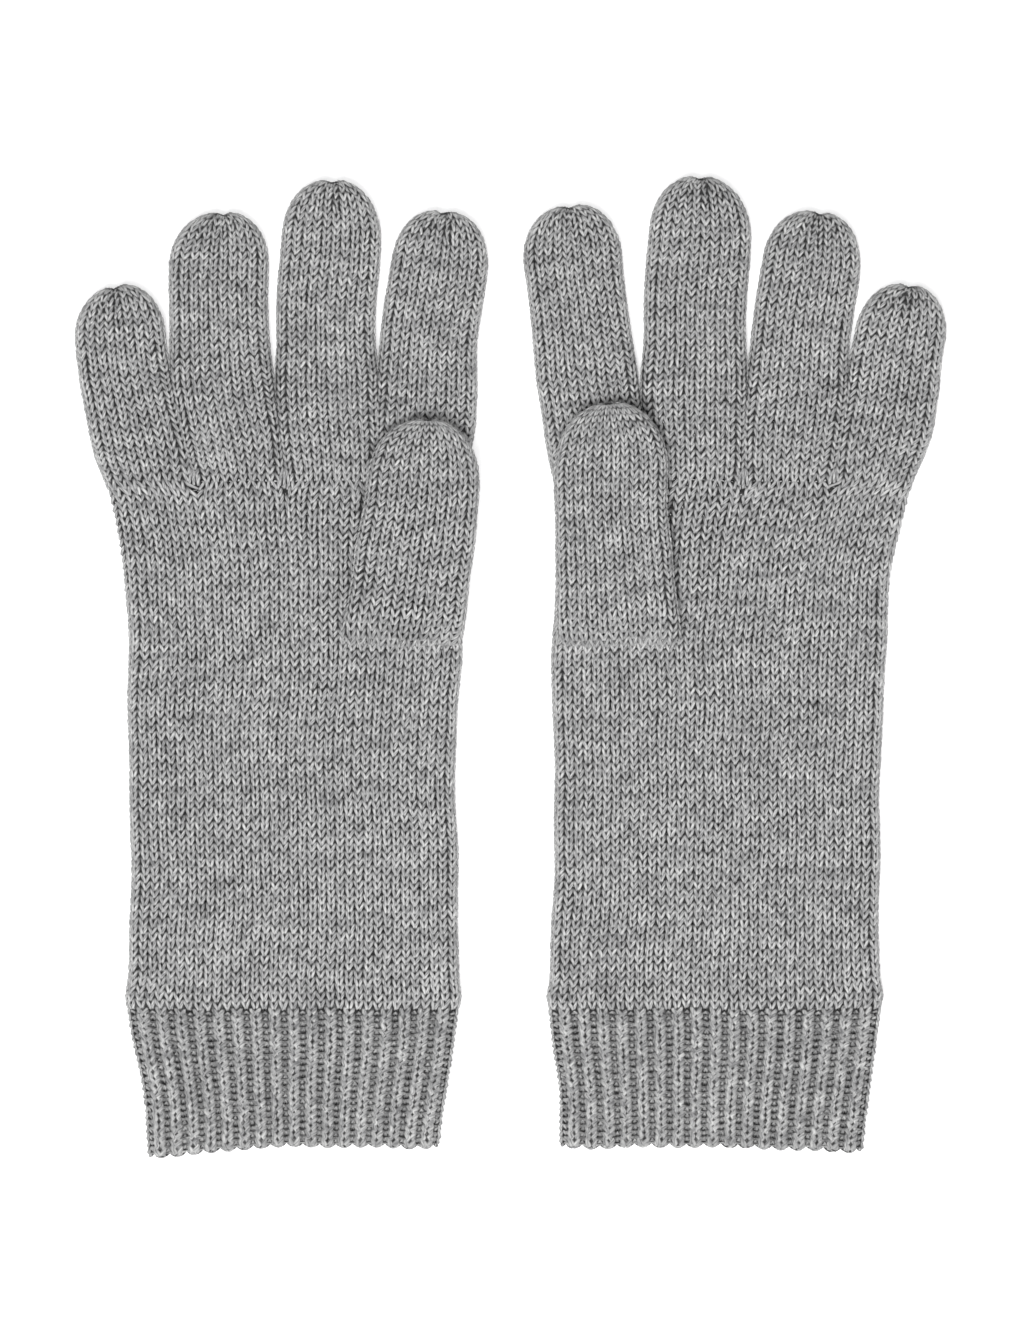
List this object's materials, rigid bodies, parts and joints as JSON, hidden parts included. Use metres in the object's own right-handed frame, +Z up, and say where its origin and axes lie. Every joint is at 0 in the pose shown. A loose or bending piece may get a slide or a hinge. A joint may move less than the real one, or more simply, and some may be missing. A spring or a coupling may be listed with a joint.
{
  "type": "knitted gloves",
  "caption": "Pair of knitted gloves with ribbed cuffs, lying palms up with the thumbs folded over the palms; fingers, thumbs and cuffs bend.",
  "frame": {"origin": "on the table, at the middle of the pair", "axes": "+X across the pair towards the left-hand glove, +Y from the cuffs to the fingertips, +Z up from the table, the way the palms face"},
  "size_m": [0.2288, 0.257, 0.0154],
  "materials": {
    "plain_knit": "heather knit",
    "rib_knit": "heather rib knit",
    "elastic_thread": "matt",
    "binding_yarn": "twisted yarn"
  },
  "bodies": {
    "right_hand": {"right_hand_tube": "plain_knit", "right_fork_stitches": "binding_yarn", "right_index_base": "plain_knit", "right_middle_base": "plain_knit", "right_ring_base": "plain_knit", "right_little_base": "plain_knit"},
    "right_cuff": {"right_cuff_rib": "rib_knit", "right_cuff_elastic": "elastic_thread"},
    "right_index_middle": {"right_index_middle": "plain_knit"},
    "right_index_tip": {"right_index_tip": "plain_knit", "right_index_closing_yarn": "binding_yarn"},
    "right_middle_middle": {"right_middle_middle": "plain_knit"},
    "right_middle_tip": {"right_middle_tip": "plain_knit", "right_middle_closing_yarn": "binding_yarn"},
    "right_ring_middle": {"right_ring_middle": "plain_knit"},
    "right_ring_tip": {"right_ring_tip": "plain_knit", "right_ring_closing_yarn": "binding_yarn"},
    "right_little_middle": {"right_little_middle": "plain_knit"},
    "right_little_tip": {"right_little_tip": "plain_knit", "right_little_closing_yarn": "binding_yarn"},
    "right_thumb_lower": {"right_thumb_base": "plain_knit"},
    "right_thumb_upper": {"right_thumb_tip": "plain_knit", "right_thumb_closing_yarn": "binding_yarn"},
    "left_hand": {"left_hand_tube": "plain_knit", "left_fork_stitches": "binding_yarn", "left_index_base": "plain_knit", "left_middle_base": "plain_knit", "left_ring_base": "plain_knit", "left_little_base": "plain_knit"},
    "left_cuff": {"left_cuff_rib": "rib_knit", "left_cuff_elastic": "elastic_thread"},
    "left_index_middle": {"left_index_middle": "plain_knit"},
    "left_index_tip": {"left_index_tip": "plain_knit", "left_index_closing_yarn": "binding_yarn"},
    "left_middle_middle": {"left_middle_middle": "plain_knit"},
    "left_middle_tip": {"left_middle_tip": "plain_knit", "left_middle_closing_yarn": "binding_yarn"},
    "left_ring_middle": {"left_ring_middle": "plain_knit"},
    "left_ring_tip": {"left_ring_tip": "plain_knit", "left_ring_closing_yarn": "binding_yarn"},
    "left_little_middle": {"left_little_middle": "plain_knit"},
    "left_little_tip": {"left_little_tip": "plain_knit", "left_little_closing_yarn": "binding_yarn"},
    "left_thumb_lower": {"left_thumb_base": "plain_knit"},
    "left_thumb_upper": {"left_thumb_tip": "plain_knit", "left_thumb_closing_yarn": "binding_yarn"}
  },
  "joints": [
    {"name": "right_cuff_fold", "type": "hinge", "parent": "right_hand", "child": "right_cuff", "pos_m": [-0.058, -0.08945, 0.0076], "axis": [-1, 0, 0], "range_deg": [0, 90]},
    {"name": "right_index_bend", "type": "hinge", "parent": "right_hand", "child": "right_index_middle", "pos_m": [-0.0225, 0.075, 0.0076], "axis": [0.9946, -0.1033, 0], "range_deg": [0, 100]},
    {"name": "right_index_tip_bend", "type": "hinge", "parent": "right_index_middle", "child": "right_index_tip", "pos_m": [-0.02, 0.09902, 0.0076], "axis": [0.9946, -0.1033, 0], "range_deg": [0, 70]},
    {"name": "right_middle_bend", "type": "hinge", "parent": "right_hand", "child": "right_middle_middle", "pos_m": [-0.049, 0.0769, 0.0076], "axis": [0.9996, -0.0267, 0], "range_deg": [0, 100]},
    {"name": "right_middle_tip_bend", "type": "hinge", "parent": "right_middle_middle", "child": "right_middle_tip", "pos_m": [-0.04827, 0.1042, 0.0076], "axis": [0.9996, -0.0267, 0], "range_deg": [0, 70]},
    {"name": "right_ring_bend", "type": "hinge", "parent": "right_hand", "child": "right_ring_middle", "pos_m": [-0.0762, 0.0734, 0.0076], "axis": [0.9996, 0.0274, 0], "range_deg": [0, 100]},
    {"name": "right_ring_tip_bend", "type": "hinge", "parent": "right_ring_middle", "child": "right_ring_tip", "pos_m": [-0.07688, 0.09805, 0.0076], "axis": [0.9996, 0.0274, 0], "range_deg": [0, 70]},
    {"name": "right_little_bend", "type": "hinge", "parent": "right_hand", "child": "right_little_middle", "pos_m": [-0.1003, 0.0668, 0.0076], "axis": [0.9915, 0.1305, 0], "range_deg": [0, 100]},
    {"name": "right_little_tip_bend", "type": "hinge", "parent": "right_little_middle", "child": "right_little_tip", "pos_m": [-0.10264, 0.08458, 0.0076], "axis": [0.9915, 0.1305, 0], "range_deg": [0, 70]},
    {"name": "right_thumb_lift", "type": "hinge", "parent": "right_hand", "child": "right_thumb_lower", "pos_m": [-0.0292, 0.005, 0.0077], "axis": [0.9921, -0.1256, 0], "range_deg": [0, 90]},
    {"name": "right_thumb_bend", "type": "hinge", "parent": "right_thumb_lower", "child": "right_thumb_upper", "pos_m": [-0.0252, 0.0366, 0.0154], "axis": [0.9953, -0.0964, 0], "range_deg": [0, 80]},
    {"name": "left_cuff_fold", "type": "hinge", "parent": "left_hand", "child": "left_cuff", "pos_m": [0.0542, -0.08945, 0.0076], "axis": [-1, 0, 0], "range_deg": [0, 90]},
    {"name": "left_index_bend", "type": "hinge", "parent": "left_hand", "child": "left_index_middle", "pos_m": [0.0205, 0.075, 0.0076], "axis": [0.9933, 0.1153, 0], "range_deg": [0, 100]},
    {"name": "left_index_tip_bend", "type": "hinge", "parent": "left_index_middle", "child": "left_index_tip", "pos_m": [0.01764, 0.09965, 0.0076], "axis": [0.9933, 0.1153, 0], "range_deg": [0, 70]},
    {"name": "left_middle_bend", "type": "hinge", "parent": "left_hand", "child": "left_middle_middle", "pos_m": [0.0483, 0.0769, 0.0076], "axis": [0.9994, -0.036, 0], "range_deg": [0, 100]},
    {"name": "left_middle_tip_bend", "type": "hinge", "parent": "left_middle_middle", "child": "left_middle_tip", "pos_m": [0.04929, 0.1043, 0.0076], "axis": [0.9994, -0.036, 0], "range_deg": [0, 70]},
    {"name": "left_ring_bend", "type": "hinge", "parent": "left_hand", "child": "left_ring_middle", "pos_m": [0.0752, 0.0734, 0.0076], "axis": [0.9927, -0.121, 0], "range_deg": [0, 100]},
    {"name": "left_ring_tip_bend", "type": "hinge", "parent": "left_ring_middle", "child": "left_ring_tip", "pos_m": [0.07822, 0.09815, 0.0076], "axis": [0.9927, -0.121, 0], "range_deg": [0, 70]},
    {"name": "left_little_bend", "type": "hinge", "parent": "left_hand", "child": "left_little_middle", "pos_m": [0.0994, 0.0668, 0.0076], "axis": [0.987, -0.1607, 0], "range_deg": [0, 100]},
    {"name": "left_little_tip_bend", "type": "hinge", "parent": "left_little_middle", "child": "left_little_tip", "pos_m": [0.10231, 0.08469, 0.0076], "axis": [0.987, -0.1607, 0], "range_deg": [0, 70]},
    {"name": "left_thumb_lift", "type": "hinge", "parent": "left_hand", "child": "left_thumb_lower", "pos_m": [0.0272, 0.005, 0.0077], "axis": [0.9997, 0.0235, 0], "range_deg": [0, 90]},
    {"name": "left_thumb_bend", "type": "hinge", "parent": "left_thumb_lower", "child": "left_thumb_upper", "pos_m": [0.0264, 0.039, 0.0154], "axis": [0.9995, 0.0325, 0], "range_deg": [0, 80]},
    {"name": "left_glove_slide", "type": "slide", "parent": "right_hand", "child": "left_hand", "axis": [1, 0, 0], "range_m": [0, 0.1]}
  ],
  "couplings": [
    {"joint": "right_index_tip_bend", "follows": "right_index_bend", "ratio": 0.6667},
    {"joint": "right_middle_tip_bend", "follows": "right_middle_bend", "ratio": 0.6667},
    {"joint": "right_ring_tip_bend", "follows": "right_ring_bend", "ratio": 0.6667},
    {"joint": "right_little_tip_bend", "follows": "right_little_bend", "ratio": 0.6667},
    {"joint": "left_index_tip_bend", "follows": "left_index_bend", "ratio": 0.6667},
    {"joint": "left_middle_tip_bend", "follows": "left_middle_bend", "ratio": 0.6667},
    {"joint": "left_ring_tip_bend", "follows": "left_ring_bend", "ratio": 0.6667},
    {"joint": "left_little_tip_bend", "follows": "left_little_bend", "ratio": 0.6667}
  ]
}
